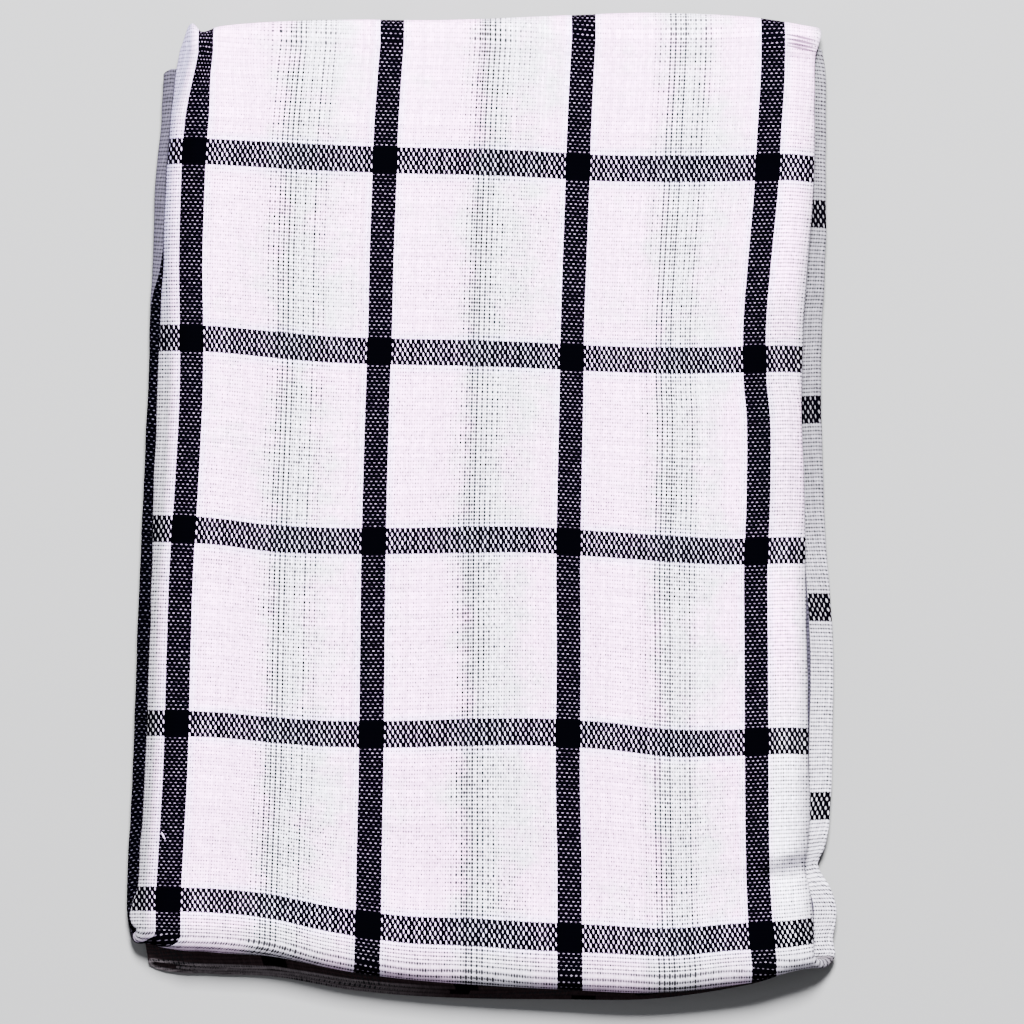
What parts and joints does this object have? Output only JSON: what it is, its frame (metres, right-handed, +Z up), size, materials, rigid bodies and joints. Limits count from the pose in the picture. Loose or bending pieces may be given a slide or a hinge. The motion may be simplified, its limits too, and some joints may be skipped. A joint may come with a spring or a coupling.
{
  "type": "folded tea towel",
  "caption": "Woven cotton tea towel for drying dishes, with a window-pane check, folded into a flat packet with its middle on top and its hemmed ends underneath.",
  "frame": {"origin": "middle of the underside of the folded towel, where it rests on the table", "axes": "+Z up through the layers, +Y along the folded towel towards its far fold, +X towards its right side"},
  "size_m": [0.1646, 0.228, 0.013],
  "materials": {
    "towel": "matt plain-weave cotton, off-white with a navy-black window-pane check"
  },
  "bodies": {
    "root": {"towel": "towel"}
  },
  "joints": []
}
